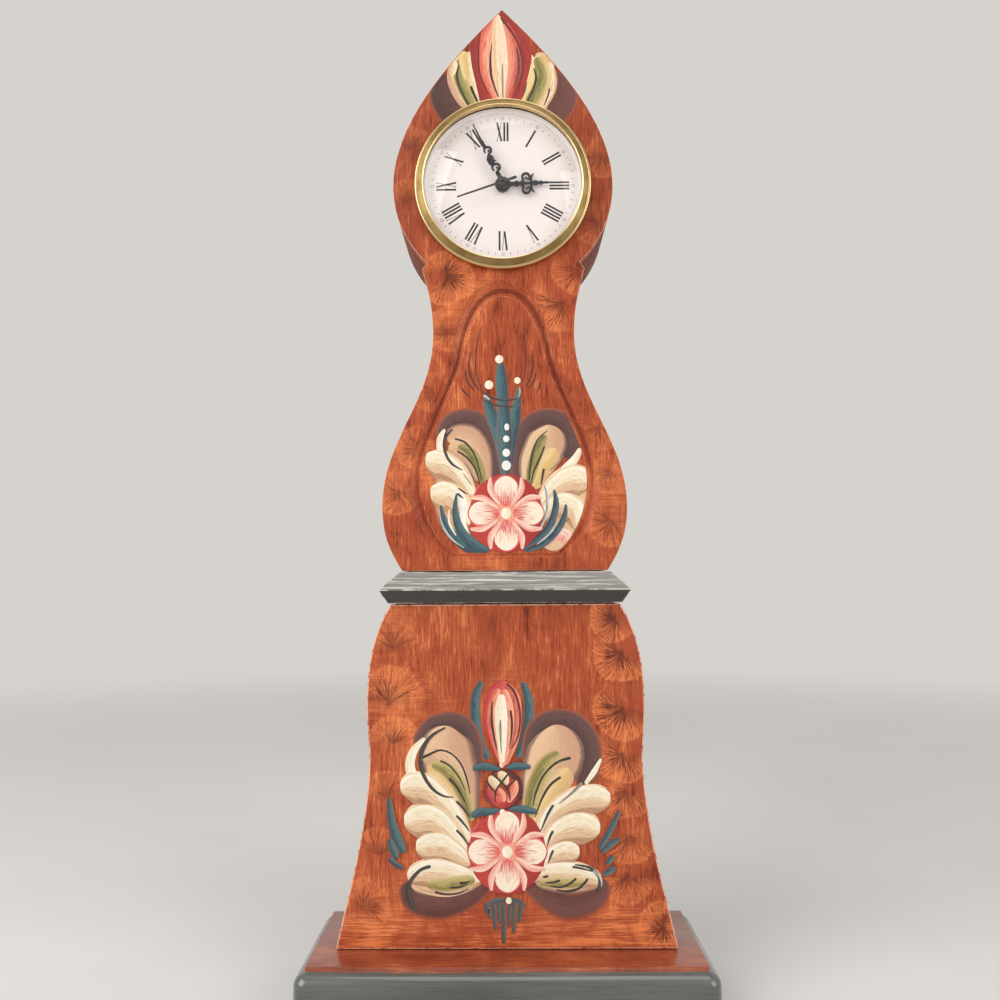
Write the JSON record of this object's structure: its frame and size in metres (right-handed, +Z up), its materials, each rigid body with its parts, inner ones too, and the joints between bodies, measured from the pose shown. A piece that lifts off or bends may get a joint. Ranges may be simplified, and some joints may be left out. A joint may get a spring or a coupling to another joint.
{
  "type": "mora table clock",
  "caption": "Folk-painted pine table clock in longcase shape: pear waist, round head with pointed tip, brass-rimmed quartz dial, moulded waist band and flared trunk on a plinth.",
  "frame": {"origin": "under the middle of the plinth board, on the surface it stands on", "axes": "+Z up, dial facing -Y, +X to the right seen from the front"},
  "size_m": [0.173, 0.0662, 0.4435],
  "materials": {
    "pine": "red-brown stained and glazed pine, satin varnish",
    "plinth": "stained pine with a dark grey-green painted edge",
    "paint": "glossy dark grey-green paint on wood",
    "beech": "bare beech",
    "brass": "satin brass",
    "lens": "clear moulded acrylic",
    "dial": "satin white print on sheet",
    "white_plastic": "satin white",
    "hands": "satin black",
    "black_plastic": "moulded black",
    "nylon": "natural nylon",
    "magnet": "plastic-bonded magnet on a nylon pinion",
    "steel": "plain steel",
    "copper": "enamelled copper wire",
    "laminate": "circuit laminate",
    "rubber": "moulded rubber",
    "battery": "plain dark jacket"
  },
  "bodies": {
    "case": {"base_board": "plinth", "base_screw_left": "steel", "base_screw_right": "steel", "lower_case": "pine", "waist_moulding": "paint", "case_dowel_left": "beech", "case_dowel_right": "beech", "upper_case": "pine", "bezel": "brass", "lens": "lens", "dial": "dial", "dial_ring": "white_plastic", "housing": "black_plastic", "grip_ring": "rubber", "train_bridge": "black_plastic", "bridge_screw_left": "steel", "bridge_screw_right": "steel", "stator": "steel", "coil_bobbin": "black_plastic", "coil_winding": "copper", "circuit_board": "laminate", "quartz_crystal": "steel", "clock_chip": "black_plastic", "rear_cover": "black_plastic", "cover_screw_1": "steel", "cover_screw_2": "steel", "cover_screw_3": "steel", "contact_plus": "steel", "contact_minus": "steel"},
    "minute": {"minute_hand": "hands", "cannon_pinion": "brass"},
    "hour": {"hour_hand": "hands", "hour_wheel": "nylon"},
    "setting": {"motion_wheel": "nylon", "setting_knob": "black_plastic"},
    "second": {"second_hand": "hands", "seconds_wheel": "nylon"},
    "third": {"third_wheel": "nylon"},
    "centre": {"centre_wheel": "nylon", "clutch_spring": "brass"},
    "intermediate": {"intermediate_wheel": "nylon"},
    "rotor": {"rotor": "magnet"},
    "battery": {"battery": "battery"}
  },
  "joints": [
    {"name": "minute_hand_turn", "type": "hinge", "parent": "case", "child": "minute", "pos_m": [0, -0.01185, 0.3582], "axis": [0, 1, 0], "continuous": true},
    {"name": "hour_hand_turn", "type": "hinge", "parent": "case", "child": "hour", "pos_m": [0, -0.01185, 0.3582], "axis": [0, 1, 0], "continuous": true},
    {"name": "setting_knob_turn", "type": "hinge", "parent": "case", "child": "setting", "pos_m": [0.00827, -0.01185, 0.35674], "axis": [0, 1, 0], "continuous": true},
    {"name": "second_hand_turn", "type": "hinge", "parent": "case", "child": "second", "pos_m": [0, -0.01185, 0.3582], "axis": [0, 1, 0], "continuous": true},
    {"name": "third_wheel_turn", "type": "hinge", "parent": "case", "child": "third", "pos_m": [-0.00767, -0.01185, 0.36025], "axis": [0, 1, 0], "continuous": true},
    {"name": "centre_wheel_turn", "type": "hinge", "parent": "case", "child": "centre", "pos_m": [0, -0.01185, 0.3582], "axis": [0, 1, 0], "continuous": true},
    {"name": "intermediate_wheel_turn", "type": "hinge", "parent": "case", "child": "intermediate", "pos_m": [0.00404, -0.01185, 0.36521], "axis": [0, 1, 0], "continuous": true},
    {"name": "rotor_turn", "type": "hinge", "parent": "case", "child": "rotor", "pos_m": [0.00274, -0.01185, 0.37259], "axis": [0, 1, 0], "continuous": true},
    {"name": "battery_pull", "type": "slide", "parent": "case", "child": "battery", "axis": [0, 1, 0], "range_m": [0, 0.045]}
  ],
  "couplings": [
    {"joint": "hour_hand_turn", "follows": "minute_hand_turn", "ratio": 0.083333},
    {"joint": "setting_knob_turn", "follows": "minute_hand_turn", "ratio": -0.33333},
    {"joint": "third_wheel_turn", "follows": "second_hand_turn", "ratio": -0.13333},
    {"joint": "centre_wheel_turn", "follows": "second_hand_turn", "ratio": 0.016667},
    {"joint": "intermediate_wheel_turn", "follows": "second_hand_turn", "ratio": -5},
    {"joint": "rotor_turn", "follows": "second_hand_turn", "ratio": 30}
  ]
}
